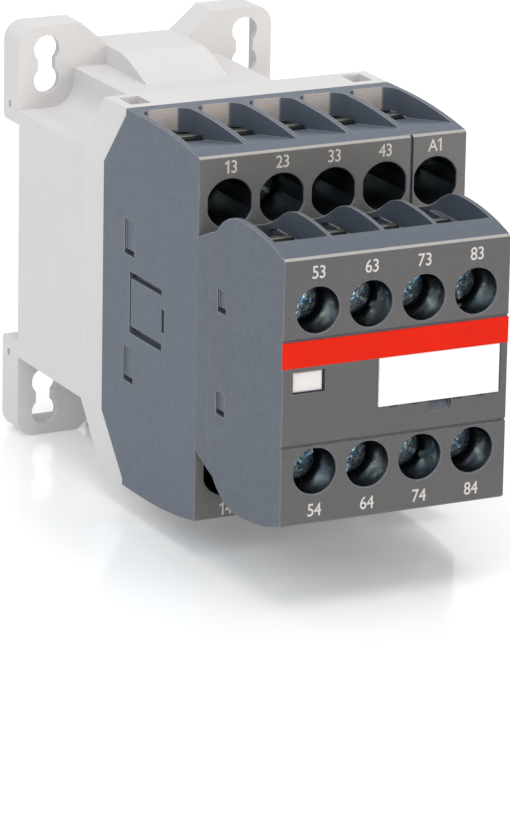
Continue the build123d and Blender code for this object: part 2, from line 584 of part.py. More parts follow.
def terminal_screw(x, z, head_front, clamp, screw):
    """Terminal screw with its captive clamp plate, whose lips straddle the terminal strip."""
    head_back = head_front - screw["head"]
    sign = 1 if z > 0 else -1
    clamp_z = sorted((sign * clamp["low"], sign * clamp["high"]))
    half = clamp["half_width"]
    with BuildPart() as piece:
        block(around(x, half), (clamp["back"], clamp["front"]), clamp_z)
        for lip_x in ((x - half, x - half + clamp["lip"]), (x + half - clamp["lip"], x + half)):
            block(lip_x, (clamp["lip_start"], clamp["back"] + TINY), clamp_z)
        with BuildSketch(Plane.XZ.offset(clamp["back"])):
            with Locations((x, z)):
                Circle(screw["shank_radius"] + THREAD_CLEARANCE)
        extrude(amount=clamp["front"] - clamp["back"], mode=Mode.SUBTRACT)
        with BuildSketch(Plane.XZ.offset(head_back)):
            with Locations((x, z)):
                Circle(screw["head_radius"])
        extrude(amount=screw["head"])
        head_rim = piece.edges().filter_by(GeomType.CIRCLE).sort_by(Axis.Y)[0]
        fillet(head_rim, HEAD_RIM_RADIUS)
        cut_depth = (head_front - DRIVE_SLOT_DEPTH, head_front + 1)
        cross = screw["cross"] / 2
        block(around(x, screw["slot"] / 2), cut_depth, around(z, cross), Mode.SUBTRACT)
        block(around(x, screw["head_radius"] + 1), cut_depth, around(z, screw["slot"] / 2), Mode.SUBTRACT)
        with BuildSketch(Plane.XZ.offset(screw["shank_end"])):
            with Locations((x, z)):
                Circle(screw["shank_radius"])
        extrude(amount=head_back - screw["shank_end"])
        shank_rim = piece.edges().filter_by(GeomType.CIRCLE).sort_by(Axis.Y)[-1]
        chamfer(shank_rim, 0.4)
    return piece


# ---------------------------------------------------------------- main contacts and terminals
for number, x in enumerate(CONTACT_POLE_X, start=1):
    save(bridge(x, MAIN_BRIDGE_DEPTH, MAIN_CONTACT_Z, MAIN_CONTACT_Z + 2.0), f"bridge_contact_{number}")
save(contact_springs(CONTACT_POLE_X, MAIN_BRIDGE_DEPTH + BRIDGE), "contact_springs")

main_hole = MAIN_SCREW["shank_radius"] + THREAD_CLEARANCE
save(fixed_contacts(CONTACT_POLE_X, MAIN_STRIP_DEPTH, (MAIN_STRIP_END_Z, MAIN_STRIP_TOP_Z),
                    MAIN_STRIP_HALF_WIDTH, MAIN_CONTACT_Z, MAIN_SCREW_Z, main_hole), "fixed_contacts_top")
save(fixed_contacts(CONTACT_POLE_X, MAIN_STRIP_DEPTH, (-MAIN_STRIP_TOP_Z, -MAIN_STRIP_END_Z),
                    MAIN_STRIP_HALF_WIDTH, -MAIN_CONTACT_Z, -MAIN_SCREW_Z, main_hole),
     "fixed_contacts_bottom")

MAIN_NUMBERS = (("13", "23", "33", "43", "a1"), ("14", "24", "34", "44", "a2"))
for row, z in zip(MAIN_NUMBERS, (MAIN_SCREW_Z, -MAIN_SCREW_Z)):
    for number, x in zip(row, POLE_X):
        head_front = RAISED_HEAD_FRONTS.get(number, MAIN_HEAD_FRONT)
        save(terminal_screw(x, z, head_front, MAIN_CLAMP, MAIN_SCREW), f"terminal_screw_{number}")

# ---------------------------------------------------------------- front housing
rib_edges = [x + s * (POLE_PITCH - RIB) / 2 for x in POLE_X for s in (-1, 1)]
rib_edges[0] = -HALF_WIDTH + OUTER_RIB
rib_edges[-1] = HALF_WIDTH - OUTER_RIB
main_pockets = list(zip(rib_edges[::2], rib_edges[1::2]))
main_spaces = [terminal_space(pocket, x, **MAIN_TERMINAL) for pocket, x in zip(main_pockets, POLE_X)]

with BuildPart() as front_housing:
    with BuildSketch(Plane.YZ):
        with BuildLine():
            Polyline((-MAIN_FRONT + BEVEL, 28.3), (-MAIN_FRONT, 27.97), (-MAIN_FRONT, 0),
                     (-SPLIT_DEPTH, 0), (-SPLIT_DEPTH, SPLIT_TOP), (-FLANGE_FRONT_DEPTH, SPLIT_LIP),
                     (-FLANGE_FRONT_DEPTH, FLANGE_TOP), (-52.0, FLANGE_TOP))
            ThreePointArc((-52.0, FLANGE_TOP), (-62.0, 29.55), (-MAIN_FRONT + BEVEL, 28.3))
        make_face()
        mirror(about=Plane.XZ)
    extrude(amount=HALF_WIDTH, both=True)
    chamfer_ends(front_housing)
    for space in main_spaces:
        add(space, mode=Mode.SUBTRACT)
    well_rims = [wire.edges() for wire in front_housing.faces().sort_by(Axis.Y)[0].inner_wires()]
    chamfer([edge for rim in well_rims for edge in rim], RIM_CHAMFER)
    # rear hollow, channel of the carrier, and its way out to the auxiliary block
    block(around(0, REAR_HOLLOW_HALF[0]), (SPLIT_DEPTH, REAR_HOLLOW_FRONT), around(0, REAR_HOLLOW_HALF[1]),
          Mode.SUBTRACT)
    block((SPINE_X[0] - RUNNING_GAP, SPINE_X[1] + RUNNING_GAP), (SPLIT_DEPTH, CARRIER_CHANNEL_FRONT),
          around(0, SPINE_HALF_HEIGHT + RUNNING_GAP), Mode.SUBTRACT)
    block((COUPLER_X[0] - RUNNING_GAP, COUPLER_X[1] + RUNNING_GAP), (COUPLER_PASSAGE_REAR, MAIN_FRONT),
          around(0, COUPLER_HALF_HEIGHT + RUNNING_GAP), Mode.SUBTRACT)
    # contact chambers and the slots that hold the strips
    for x in CONTACT_POLE_X:
        block(around(x, CONTACT_CHAMBER_HALF[0]), (MAIN_STRIP_DEPTH, CONTACT_CHAMBER_FRONT),
              around(0, CONTACT_CHAMBER_HALF[1]), Mode.SUBTRACT)
        for z in both_ways(STRIP_SLOT_Z):
            block(around(x, MAIN_STRIP_HALF_WIDTH), (MAIN_STRIP_DEPTH, MAIN_STRIP_DEPTH + STRIP), z,
                  Mode.SUBTRACT)
    for z in both_ways((COIL_LEG_Z, STRIP_SLOT_Z[1])):
        block(around(COIL_COLUMN_X, MAIN_STRIP_HALF_WIDTH), (MAIN_STRIP_DEPTH, MAIN_STRIP_DEPTH + STRIP), z,
              Mode.SUBTRACT)
    for z in both_ways((COIL_LEG_Z, COIL_LEG_Z + STRIP)):
        block(around(COIL_COLUMN_X, COIL_LEG_HALF_WIDTH),
              (COIL_LEG_WINDOW_DEPTH, MAIN_STRIP_DEPTH + STRIP), z, Mode.SUBTRACT)
    # groove beside the coil column
    block(COIL_GROOVE_X, (MAIN_FRONT - 0.6, MAIN_FRONT), around(0, FLANGE_TOP), Mode.SUBTRACT)
    # side slots, cover openings and the pry notches beside them
    for z in both_ways(SIDE_SLOT_Z):
        side_slot(-HALF_WIDTH, 1, SIDE_SLOT_DEPTH, z)
        side_slot(HALF_WIDTH, -1, SIDE_SLOT_DEPTH, z)
    for x in both_ways((HALF_WIDTH - PRY_NOTCH_SINK, HALF_WIDTH)):
        block(x, (COVER_DEPTH[1] - TINY, PRY_NOTCH_END), around(0, PRY_NOTCH_HALF_HEIGHT), Mode.SUBTRACT)
    for x in both_ways((COVER_OPENING_X, HALF_WIDTH)):
        block(x, COVER_DEPTH, around(0, COVER_HALF_HEIGHT), Mode.SUBTRACT)
save(front_housing, "front_housing")

for name, sign in (("side_cover_left", -1), ("side_cover_right", 1)):
    with BuildPart() as side_cover:
        block(sorted((sign * COVER_X[0], sign * COVER_X[1])), COVER_DEPTH, around(0, COVER_HALF_HEIGHT))
        block(sorted((sign * COVER_X[1], sign * COVER_X[2])), COVER_PANEL_DEPTH,
              around(0, COVER_PANEL_HALF_HEIGHT))
        panel_edges = side_cover.faces().sort_by(Axis.X)[0 if sign < 0 else -1].edges()
        chamfer(panel_edges, 0.15)
    save(side_cover, name)

# ---------------------------------------------------------------- auxiliary block
with BuildPart() as aux_rear_shell:
    with BuildSketch(Plane.YZ.offset(AUX_LEFT)):
        with BuildLine():
            Polyline((-MAIN_FRONT, 0), (-MAIN_FRONT, AUX_SHELL_TOP[0]),
                     (-SHELL_SPLIT_DEPTH, AUX_SHELL_TOP[1]), (-SHELL_SPLIT_DEPTH, 0), close=True)
        make_face()
        mirror(about=Plane.XZ)
    extrude(amount=AUX_RIGHT - AUX_LEFT)
    chamfer_ends(aux_rear_shell)
    block((COUPLER_X[0] - RUNNING_GAP, COUPLER_X[1] + RUNNING_GAP), (MAIN_FRONT, SHELL_SPLIT_DEPTH),
          around(-AUX_DROP, COUPLER_HALF_HEIGHT + RUNNING_GAP), Mode.SUBTRACT)
    block((AUX_SPINE_X[0] - RUNNING_GAP, AUX_SPINE_X[1] + RUNNING_GAP),
          (AUX_SHELL_POCKET_REAR, SHELL_SPLIT_DEPTH),
          around(0, AUX_SPINE_HALF_HEIGHT + RUNNING_GAP), Mode.SUBTRACT)
save(aux_rear_shell, "aux_rear_shell", AUX_DROP)

aux_edges = [x + s * (AUX_PITCH - AUX_RIB) / 2 for x in AUX_POLE_X for s in (-1, 1)]
aux_edges[0] = AUX_LEFT + AUX_OUTER_RIB
aux_edges[-1] = AUX_RIGHT - AUX_OUTER_RIB
aux_pockets = list(zip(aux_edges[::2], aux_edges[1::2]))
aux_spaces = [terminal_space(pocket, x, **AUX_TERMINAL) for pocket, x in zip(aux_pockets, AUX_POLE_X)]

with BuildPart() as aux_housing:
    with BuildSketch(Plane.YZ.offset(AUX_LEFT)):
        with BuildLine():
            Polyline((-AUX_FRONT + BEVEL, 20.28), (-AUX_FRONT, 19.95), (-AUX_FRONT, 0),
                     (-SHELL_SPLIT_DEPTH, 0), (-SHELL_SPLIT_DEPTH, AUX_SHELL_TOP[1]), (-77.7, 19.0))
            ThreePointArc((-77.7, 19.0), (-81.0, 21.5), (-86.3, 22.6))
            ThreePointArc((-86.3, 22.6), (-93.5, 21.9), (-AUX_FRONT + BEVEL, 20.28))
        make_face()
        mirror(about=Plane.XZ)
    extrude(amount=AUX_RIGHT - AUX_LEFT)
    chamfer_ends(aux_housing)
    for space in aux_spaces:
        add(space, mode=Mode.SUBTRACT)
    well_rims = [wire.edges() for wire in aux_housing.faces().sort_by(Axis.Y)[0].inner_wires()]
    chamfer([edge for rim in well_rims for edge in rim], RIM_CHAMFER)
    # channel of the carrier, contact chambers and strip slots
    block((AUX_SPINE_X[0] - RUNNING_GAP, AUX_SPINE_X[1] + RUNNING_GAP),
          (SHELL_SPLIT_DEPTH, AUX_FRONT - FRONT_WALL),
          around(0, AUX_SPINE_HALF_HEIGHT + RUNNING_GAP), Mode.SUBTRACT)
    for x in AUX_POLE_X:
        block(around(x, AUX_CHAMBER_HALF[0]), (AUX_STRIP_DEPTH, AUX_CHAMBER_FRONT),
              around(0, AUX_CHAMBER_HALF[1]), Mode.SUBTRACT)
        for z in both_ways(AUX_STRIP_SLOT_Z):
            block(around(x, AUX_STRIP_HALF_WIDTH), (AUX_STRIP_DEPTH, AUX_STRIP_DEPTH + STRIP), z,
                  Mode.SUBTRACT)
    # indicator window, band recess and marker recess
    block(WINDOW_X, (AUX_FRONT - FRONT_WALL - 1, AUX_FRONT), WINDOW_Z, Mode.SUBTRACT)
    block((AUX_LEFT, AUX_RIGHT), (AUX_FRONT - BAND_THICKNESS, AUX_FRONT), BAND_Z, Mode.SUBTRACT)
    block(LABEL_X, (AUX_FRONT - LABEL_RECESS, AUX_FRONT), LABEL_Z, Mode.SUBTRACT)
    # sloping pry notch and the catches under the marker plate
    with BuildSketch(Plane.YZ.offset(NOTCH_X[0])):
        Polygon((-AUX_FRONT, NOTCH_Z[0]), (-AUX_FRONT, NOTCH_Z[1]), (NOTCH_SINK - AUX_FRONT, NOTCH_Z[1]),
                align=None)
    extrude(amount=NOTCH_X[1] - NOTCH_X[0], mode=Mode.SUBTRACT)
    for x in PLATE_CATCHES_X:
        block(around(x, PLATE_CATCH[0] / 2), (AUX_FRONT - LABEL_RECESS, AUX_FRONT),
              (LABEL_Z[0] - PLATE_CATCH[1], LABEL_Z[0] + TINY), Mode.SUBTRACT)
    for z in GROOVES_Z:
        block((AUX_LEFT, AUX_RIGHT), (AUX_FRONT - GROOVE, AUX_FRONT), around(z, GROOVE / 2), Mode.SUBTRACT)
    for z in AUX_SIDE_SLOTS_Z:
        side_slot(AUX_LEFT, 1, AUX_SIDE_SLOT_DEPTH, z)
        side_slot(AUX_RIGHT, -1, AUX_SIDE_SLOT_DEPTH, z)
save(aux_housing, "aux_housing", AUX_DROP)

with BuildPart() as aux_carrier:
    block(AUX_SPINE_X, AUX_SPINE_DEPTH, around(0, AUX_SPINE_HALF_HEIGHT))
    for x in AUX_POLE_X:
        block(around(x, WINDOW_HALF_WIDTH),
              (AUX_BRIDGE_DEPTH, AUX_BRIDGE_DEPTH + BRIDGE + CONTACT_SPRING_LENGTH),
              around(0, AUX_SPINE_HALF_HEIGHT), Mode.SUBTRACT)
save(aux_carrier, "aux_carrier", AUX_DROP)

with BuildPart() as position_indicator:
    block(INDICATOR_X, (AUX_SPINE_DEPTH[1], INDICATOR_FRONT), INDICATOR_Z)
    front_rim = position_indicator.faces().sort_by(Axis.Y)[0].edges()
    fillet(front_rim, 0.3)
save(position_indicator, "position_indicator", AUX_DROP)

for number, x in enumerate(AUX_POLE_X, start=1):
    save(bridge(x, AUX_BRIDGE_DEPTH, AUX_CONTACT_Z, AUX_CONTACT_Z + 1.5), f"aux_bridge_contact_{number}",
         AUX_DROP)
save(contact_springs(AUX_POLE_X, AUX_BRIDGE_DEPTH + BRIDGE), "aux_contact_springs", AUX_DROP)

aux_hole = AUX_SCREW["shank_radius"] + THREAD_CLEARANCE
aux_screw_z = AUX_TERMINAL["screw_z"]
save(fixed_contacts(AUX_POLE_X, AUX_STRIP_DEPTH, (AUX_STRIP_END_Z, AUX_STRIP_TOP_Z), AUX_STRIP_HALF_WIDTH,
                    AUX_CONTACT_Z, aux_screw_z, aux_hole), "aux_fixed_contacts_top", AUX_DROP)
save(fixed_contacts(AUX_POLE_X, AUX_STRIP_DEPTH, (-AUX_STRIP_TOP_Z, -AUX_STRIP_END_Z), AUX_STRIP_HALF_WIDTH,
                    -AUX_CONTACT_Z, -aux_screw_z, aux_hole), "aux_fixed_contacts_bottom", AUX_DROP)

AUX_NUMBERS = (("53", "63", "73", "83"), ("54", "64", "74", "84"))
for row, z in zip(AUX_NUMBERS, (aux_screw_z, -aux_screw_z)):
    for number, x in zip(row, AUX_POLE_X):
        save(terminal_screw(x, z, AUX_HEAD_FRONT, AUX_CLAMP, AUX_SCREW), f"terminal_screw_{number}",
             AUX_DROP)

# ---------------------------------------------------------------- front trim
with BuildPart() as colour_band:
    block((AUX_LEFT, AUX_RIGHT), (AUX_FRONT - BAND_THICKNESS, AUX_FRONT), BAND_Z)
save(colour_band, "colour_band", AUX_DROP)

with BuildPart() as marker_plate:
    block(PLATE_X, (AUX_FRONT - LABEL_RECESS, AUX_FRONT + PLATE_PROUD), PLATE_Z)
    plate_rim = marker_plate.faces().sort_by(Axis.Y)[0].edges()
    fillet(plate_rim, 0.2)
save(marker_plate, "marker_plate", AUX_DROP)
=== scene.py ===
"""Looks of the rail-mounted contactor: finishes, real screws, copies of the CAD springs, printed numbers and
a studio.
"""
import json
import math

import bmesh
import bpy
from mathutils import Matrix, Quaternion, Vector


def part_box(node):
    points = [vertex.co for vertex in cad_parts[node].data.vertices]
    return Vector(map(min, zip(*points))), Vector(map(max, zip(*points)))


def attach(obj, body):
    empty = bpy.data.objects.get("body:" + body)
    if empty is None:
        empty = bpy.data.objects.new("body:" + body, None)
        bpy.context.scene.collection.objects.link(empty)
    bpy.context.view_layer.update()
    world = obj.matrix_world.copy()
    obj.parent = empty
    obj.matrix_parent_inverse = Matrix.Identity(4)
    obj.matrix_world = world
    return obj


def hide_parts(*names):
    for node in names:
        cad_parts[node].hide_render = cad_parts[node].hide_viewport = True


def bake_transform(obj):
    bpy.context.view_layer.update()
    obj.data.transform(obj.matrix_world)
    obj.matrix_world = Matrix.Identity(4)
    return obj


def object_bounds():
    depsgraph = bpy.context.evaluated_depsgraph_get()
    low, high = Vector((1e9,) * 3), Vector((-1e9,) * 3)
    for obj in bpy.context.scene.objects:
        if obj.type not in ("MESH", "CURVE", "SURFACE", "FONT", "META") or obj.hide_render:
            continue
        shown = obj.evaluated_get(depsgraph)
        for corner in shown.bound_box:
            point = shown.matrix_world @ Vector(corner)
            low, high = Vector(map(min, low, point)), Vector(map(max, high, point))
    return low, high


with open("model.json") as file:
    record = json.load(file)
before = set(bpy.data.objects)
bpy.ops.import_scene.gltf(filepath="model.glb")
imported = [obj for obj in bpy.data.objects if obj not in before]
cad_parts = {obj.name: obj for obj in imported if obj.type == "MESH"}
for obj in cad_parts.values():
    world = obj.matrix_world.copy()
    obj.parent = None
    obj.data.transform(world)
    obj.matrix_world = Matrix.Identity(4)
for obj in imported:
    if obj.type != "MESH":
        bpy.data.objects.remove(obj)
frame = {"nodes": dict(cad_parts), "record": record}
cad_low, cad_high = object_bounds()

MM = 0.001

# the numbers of the upper (1) and lower (-1) terminals, from left to right
MAIN_ROWS = {1: ("13", "23", "33", "43", "a1"), -1: ("14", "24", "34", "44", "a2")}
AUX_ROWS = {1: ("53", "63", "73", "83"), -1: ("54", "64", "74", "84")}

# the view: angles in degrees, lengths in metres, the lens and its sensor in millimetres
AZIMUTH = -27.008
ELEVATION = 15.896
ROLL = 1.117
DISTANCE = 0.8214
TARGET = Vector((0, -0.055, 0))
LENS = 234.73
SENSOR = 36
SHIFT = (-0.0314, -0.1375)


# ------------------------------------------------------------------ shader building
class Finish:
    """One procedural material, worked out in the piece's own coordinates, in metres."""

    def __init__(self, name):
        self.material = bpy.data.materials.new(name)
        self.material.use_nodes = True
        self.nodes = self.material.node_tree.nodes
        self.links = self.material.node_tree.links
        self.surface = self.nodes["Principled BSDF"]
        self.place = self.nodes.new("ShaderNodeTexCoord").outputs["Object"]

    def node(self, kind, values=(), **settings):
        """A node with its settings and with its inputs given as values or as outputs to link."""
        made = self.nodes.new(kind)
        for key, value in settings.items():
            setattr(made, key, value)
        for key, value in dict(values).items():
            if isinstance(value, bpy.types.NodeSocket):
                self.links.new(value, made.inputs[key])
            else:
                made.inputs[key].default_value = value
        return made

    def stretched(self, scale):
        """The coordinates scaled unequally along X, Y and Z."""
        return self.node("ShaderNodeMapping", {"Vector": self.place, "Scale": scale}).outputs["Vector"]

    def noise(self, scale, detail=2.0, rough=0.5, place=None):
        """Soft noise with about that many features to the metre."""
        values = {"Vector": place or self.place, "Scale": scale, "Detail": detail, "Roughness": rough}
        return self.node("ShaderNodeTexNoise", values).outputs["Fac"]

    def spread(self, value, low, high, to_low=0.0, to_high=1.0):
        """The value carried from one range to another, and held inside it."""
        values = {"Value": value, "From Min": low, "From Max": high, "To Min": to_low, "To Max": to_high}
        return self.node("ShaderNodeMapRange", values).outputs["Result"]

    def maths(self, operation, first, second=0.0, third=0.0):
        """The result of one operation on values or outputs."""
        values = {0: first, 1: second, 2: third}
        return self.node("ShaderNodeMath", values, operation=operation).outputs["Value"]

    def product(self, first, *others):
        """All the values multiplied together."""
        for other in others:
            first = self.maths("MULTIPLY", first, other)
        return first

    def axes(self, vector):
        """The X, Y and Z of a vector."""
        parts = self.node("ShaderNodeSeparateXYZ", {"Vector": vector}).outputs
        return parts["X"], parts["Y"], parts["Z"]

    def facing(self):
        """The X, Y and Z of the direction that the surface faces."""
        return self.axes(self.nodes.new("ShaderNodeNewGeometry").outputs["Normal"])

    def mix(self, share, first, second):
        """Two colours mixed by a share from 0 to 1."""
        values = {0: share, 6: first, 7: second}
        return self.node("ShaderNodeMix", values, data_type="RGBA").outputs[2]

    def mix_value(self, share, first, second):
        """Two values mixed by a share from 0 to 1."""
        return self.node("ShaderNodeMix", {0: share, 2: first, 3: second}).outputs[0]

    def rounded(self, radius):
        """The surface direction with its sharp edges rounded off."""
        return self.node("ShaderNodeBevel", {"Radius": radius}, samples=6).outputs["Normal"]

    def edges(self, rounded):
        """About 1 on the sharp edges that the rounding changes, and 0 on the faces."""
        flat = self.nodes.new("ShaderNodeNewGeometry").outputs["Normal"]
        likeness = self.node("ShaderNodeVectorMath", {0: rounded, 1: flat}, operation="DOT_PRODUCT")
        return self.spread(likeness.outputs["Value"], 0.995, 0.86)

    def bump(self, height, depth, strength=1.0, normal=None):
        """The surface direction, tilted by a relief of that depth in metres."""
        values = {"Height": height, "Distance": depth, "Strength": strength}
        if normal:
            values["Normal"] = normal
        return self.node("ShaderNodeBump", values).outputs["Normal"]

    def finish(self, **values):
        """Set or link the shader's own inputs, and hand the material over."""
        for key, value in values.items():
            key = key.replace("_", " ")
            if isinstance(value, bpy.types.NodeSocket):
                self.links.new(value, self.surface.inputs[key])
            else:
                self.surface.inputs[key].default_value = value
        return self.material


def rgb(red, green, blue):
    """An opaque linear colour."""
    return (red, green, blue, 1.0)


class Plastic(Finish):
    """Spark-eroded moulded plastic: a fine grain, faint flow clouds, and paler edges, rubbed and with
    painted highlights.
    """

    def __init__(self, name, body, edge_wear_and_highlight, rough=0.5, grain=2600, contrast=0.08, edge_radius=0.11 * MM):
        super().__init__(name)
        self.smooth = self.rounded(edge_radius)
        fine = self.noise(grain, 3.0, 0.6)
        speck = self.noise(grain * 0.42, 2.0, 0.55)
        clouds = self.noise(95, 3.0)
        flow = self.noise(30, 2.0, place=self.stretched((1, 1, 3)))
        shade = self.spread(fine, 0.3, 0.7, 1 - contrast, 1 + contrast)
        tone = self.spread(self.maths("ADD", clouds, flow), 0.7, 1.3, 0.975, 1.025)
        self.shade = self.maths("MULTIPLY", shade, tone)
        # edges painted paler: partly rubbed wear, partly painted highlights
        wear_and_highlight = self.maths("MULTIPLY", self.edges(self.smooth), self.spread(speck, 0.3, 0.62, 0.6, 1.0))
        self.colour = self.mix(wear_and_highlight, self.shaded(body), edge_wear_and_highlight)
        self.relief = self.maths("ADD", self.product(fine, 0.6), self.product(speck, 0.4))
        self.roughness = self.spread(speck, 0.25, 0.75, rough - 0.06, rough + 0.07)

    def shaded(self, colour):
        """A colour with the grain and the clouds in it."""
        values = {0: colour[:3], "Scale": self.shade}
        return self.node("ShaderNodeVectorMath", values, operation="SCALE").outputs["Vector"]

    def made(self, depth, specular):
        """The finished material, with a grain of that depth in metres."""
        normal = self.bump(self.relief, depth, 0.9, self.smooth)
        return self.finish(Base_Color=self.colour, Roughness=self.roughness, Normal=normal,
                           Specular_IOR_Level=specular)


def moulded(name, body, edge_wear_and_highlight, rough=0.5, grain=2600, contrast=0.08, depth=0.012 * MM, specular=0.45):
    """Plain moulded plastic, in one colour with its paler edges, rubbed and with painted highlights."""
    return Plastic(name, body, edge_wear_and_highlight, rough, grain, contrast).made(depth, specular)


def well_shade_mask(f, front, x, y, height, sideways, wells):
    """1 on the screwdriver wells' walls, painted black as shade, which repeat across the width; 0 elsewhere.
    """
    across = f.maths("WRAP", f.maths("SUBTRACT", x, wells["x"]), wells["pitch"] / 2, -wells["pitch"] / 2)
    upward = f.maths("SUBTRACT", height, wells["z"])
    away = f.maths("SQRT", f.maths("ADD", f.product(across, across), f.product(upward, upward)))
    near = f.spread(away, wells["radius"] + 0.05 * MM, wells["radius"] + 0.15 * MM, 1, 0)
    sunk = f.spread(y, front + 0.15 * MM, front + 0.5 * MM)
    from_middle = f.maths("ABSOLUTE", f.maths("SUBTRACT", x, wells["centre"]))
    inside = f.spread(from_middle, wells["half_width"] - 0.2 * MM, wells["half_width"], 1, 0)
    return f.product(near, sunk, f.spread(sideways, 0.3, 0.5, 1, 0), inside)


def rear_wall(f, y, height, outward, wells):
    """1 on the rear walls of the open pockets, and 0 elsewhere."""
    deep = f.spread(y, wells["rear"] - 0.3 * MM, wells["rear"] - 0.1 * MM)
    high = f.spread(height, wells["wall"], wells["wall"] + 0.3 * MM)
    return f.product(deep, high, f.spread(outward, 0.9, 0.97))


def terminal_plastic(name, body, front_light_tint, node, wells):
    """Dark moulded plastic of a housing with terminals, with painted light: a front painted warmer for the
    warm light falling on it, a painted highlight on the top bevel, screwdriver wells painted black as shade,
    and the rear walls of the open pockets painted pale and blotchy as light falling on them."""
    f = Plastic(name, body, EDGE_WEAR_AND_HIGHLIGHT, 0.47, edge_radius=0.15 * MM)
    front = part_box(node)[0].y
    x, y, z = f.axes(f.nodes.new("ShaderNodeNewGeometry").outputs["Position"])
    _, facing_y, facing_z = f.facing()
    outward = f.maths("MULTIPLY", facing_y, -1.0)
    height = f.maths("ABSOLUTE", f.maths("SUBTRACT", z, wells["middle"]))
    # the front faces get the warmer copy of the colour: painted warm light
    on_front = f.spread(y, front + 0.5 * MM, front + 0.3 * MM)
    f.colour = f.mix(f.product(f.spread(outward, 0.75, 0.9), on_front), f.colour, f.shaded(front_light_tint))
    # only the bevel along the top edge of the front faces both outward and up; it is painted pale as a
    # highlight
    bevel_highlight = f.product(f.spread(f.maths("MULTIPLY", outward, facing_z), 0.36, 0.44),
                      f.spread(z, wells["z"] + 4 * MM, wells["z"] + 5 * MM))
    f.colour = f.mix(bevel_highlight, f.colour, BEVEL_PAINTED_HIGHLIGHT)
    f.roughness = f.maths("MULTIPLY", f.roughness, f.spread(bevel_highlight, 0, 1, 1.0, 0.6))
    # the well walls are painted near black as shade
    well_shade = well_shade_mask(f, front, x, y, height, f.maths("ABSOLUTE", facing_y), wells)
    f.colour = f.mix(well_shade, f.colour, WELL_PAINTED_SHADE)
    f.roughness = f.mix_value(well_shade, f.roughness, wells["polish"])
    # the rear walls of the open pockets are painted pale and blotchy as light falling on them
    coarse = f.spread(f.noise(3800, 3.0, 0.7), 0.3, 0.7)
    f.colour = f.mix(rear_wall(f, y, height, outward, wells), f.colour, f.mix(coarse, REAR_WALL_LIGHT_LOW, REAR_WALL_LIGHT_HIGH))
    return f.made(0.016 * MM, f.mix_value(well_shade, 0.5, wells["gloss"]))


# painted light: the highlight on the top bevels, the shade in the screwdriver wells, and the light on the
# rear walls
BEVEL_PAINTED_HIGHLIGHT = rgb(0.35, 0.325, 0.305)
WELL_PAINTED_SHADE = rgb(0.010, 0.012, 0.014)
REAR_WALL_LIGHT_LOW = rgb(0.42, 0.37, 0.345)
REAR_WALL_LIGHT_HIGH = rgb(0.60, 0.535, 0.50)

# the wells of a housing: one of them at x, their pitch, the middle height and the height z above it, the
# depth (rear) and height (wall) of the rear walls, the middle (centre) and half width of the block, and the
# roughness (polish) and reflection (gloss) of the well walls, which are painted black as shade
MAIN_WELLS = dict(x=0.0, pitch=8.65 * MM, middle=0.0, z=20.8 * MM, radius=3.82 * MM, rear=-48.7 * MM,
                  wall=26.3 * MM, centre=0.0, half_width=22.2 * MM, polish=0.42, gloss=0.14)
AUX_WELLS = dict(x=0.44 * MM, pitch=8.68 * MM, middle=-0.38 * MM, z=12.2 * MM, radius=3.525 * MM,
                 rear=-78.0 * MM, wall=30.0 * MM, centre=-3.9 * MM, half_width=18.3 * MM, polish=0.2,
                 gloss=0.42)


def metal(name, body, tint, rough=0.32, brush=(1, 1, 1), grain=3500, depth=0.006 * MM, edge_wear_and_highlight=None):
    """Plated or stamped metal: drawn marks along one way, tarnish clouds, and edges painted bright as worn
    plating and as highlights.
    """
    f = Finish(name)
    rounded = f.rounded(0.07 * MM)
    lines = f.noise(grain, 3.0, 0.65, place=f.stretched(brush))
    clouds = f.noise(520, 3.0, 0.6)
    share = f.spread(clouds, 0.40, 0.62)
    colour = f.mix(share, body, tint)
    shade = f.spread(lines, 0.3, 0.7, 0.82, 1.12)
    shaded = f.node("ShaderNodeVectorMath", {0: colour, "Scale": shade}, operation="SCALE").outputs["Vector"]
    bright = f.mix(f.edges(rounded), shaded, edge_wear_and_highlight or body)
    roughness = f.spread(f.maths("ADD", lines, clouds), 0.7, 1.3, rough - 0.09, rough + 0.12)
    normal = f.bump(lines, depth, 0.8, rounded)
    return f.finish(Base_Color=bright, Roughness=roughness, Normal=normal, Metallic=1.0)


def passivated_zinc():
    """Zinc plating with the faint blue, green and violet films of its passivation."""
    f = Finish("zinc_passivated")
    rounded = f.rounded(0.06 * MM)
    film = f.noise(620, 2.5, 0.6)
    fine = f.noise(5200, 3.0, 0.6)
    ramp = f.node("ShaderNodeValToRGB", {"Fac": film})
    stops = ((0.36, rgb(0.42, 0.42, 0.86)), (0.44, rgb(0.50, 0.86, 0.92)), (0.49, rgb(0.98, 0.98, 0.98)),
             (0.55, rgb(0.56, 0.84, 0.80)), (0.64, rgb(0.66, 0.48, 0.84)))
    elements = ramp.color_ramp.elements
    elements[0].position = stops[0][0]
    elements[0].color = stops[0][1]
    elements[1].position = stops[-1][0]
    elements[1].color = stops[-1][1]
    for position, colour in stops[1:-1]:
        elements.new(position).color = colour
    # the edges of the heads are painted near white as highlights
    bright = f.mix(f.edges(rounded), ramp.outputs["Color"], rgb(0.96, 0.97, 0.98))
    roughness = f.spread(fine, 0.3, 0.7, 0.20, 0.32)
    pressed = f.bump(f.noise(1300, 1.0, 0.4), 0.12 * MM, 1.0, rounded)
    normal = f.bump(fine, 0.003 * MM, 0.8, pressed)
    return f.finish(Base_Color=bright, Roughness=roughness, Normal=normal, Metallic=1.0)


